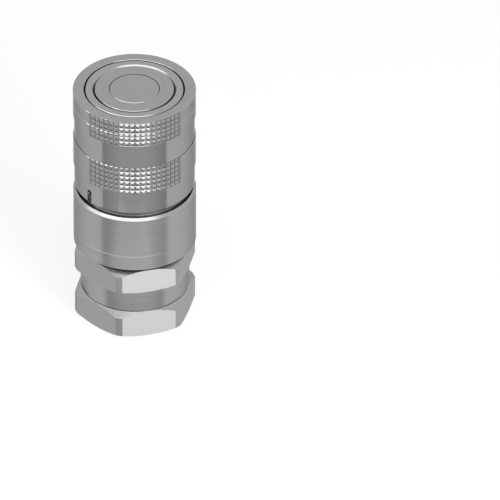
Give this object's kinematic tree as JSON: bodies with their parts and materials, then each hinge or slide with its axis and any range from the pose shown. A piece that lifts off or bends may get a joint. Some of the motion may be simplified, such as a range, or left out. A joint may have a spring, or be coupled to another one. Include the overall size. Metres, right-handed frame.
{
  "type": "flat face coupling",
  "caption": "Flat-faced quick coupling socket with a sliding face valve, a ball-locking sleeve with knurled grips, and a threaded hexagon port.",
  "frame": {"origin": "on the axis, at the bottom face of the port hexagon that the coupling stands on", "axes": "+Z along the axis towards the flat front; the wrench flats face -Y and +Y"},
  "size_m": [0.038, 0.038, 0.082],
  "materials": {
    "sleeve_steel": "satin, turned",
    "body_steel": "satin, turned",
    "milled_steel": "satin, milled",
    "face_steel": "satin, face turned",
    "ball_steel": "polished",
    "spring_steel": "drawn wire",
    "seal_rubber": "smooth moulded",
    "backup_plastic": "plain"
  },
  "bodies": {
    "body": {"port_adapter": "milled_steel", "port_joint_seal": "seal_rubber", "rear_body": "body_steel", "body_joint_seal": "seal_rubber", "tail_seal": "seal_rubber", "tail_backup_ring": "backup_plastic", "front_body": "body_steel", "locking_balls": "ball_steel", "detent_ball": "ball_steel", "sleeve_stop_ring": "spring_steel", "socket_seal": "seal_rubber", "socket_backup_ring": "backup_plastic", "valve_stem": "face_steel", "stem_spider": "milled_steel", "stem_washer": "milled_steel", "stem_nut": "milled_steel", "face_spring": "spring_steel", "sleeve_spring": "spring_steel"},
    "face_valve": {"face_sleeve": "face_steel", "stem_seal": "seal_rubber", "stem_backup_ring": "backup_plastic"},
    "sleeve": {"locking_sleeve": "sleeve_steel"}
  },
  "joints": [
    {"name": "face_slide", "type": "slide", "parent": "body", "child": "face_valve", "axis": [0, 0, 1], "range_m": [-0.01, 0], "stiffness_N_per_m": 2500, "springref_m": 0.006, "deforming": ["face_spring"]},
    {"name": "sleeve_slide", "type": "slide", "parent": "body", "child": "sleeve", "axis": [0, 0, 1], "range_m": [-0.0019, 0], "stiffness_N_per_m": 1500, "springref_m": 0.004, "deforming": ["sleeve_spring"]}
  ]
}
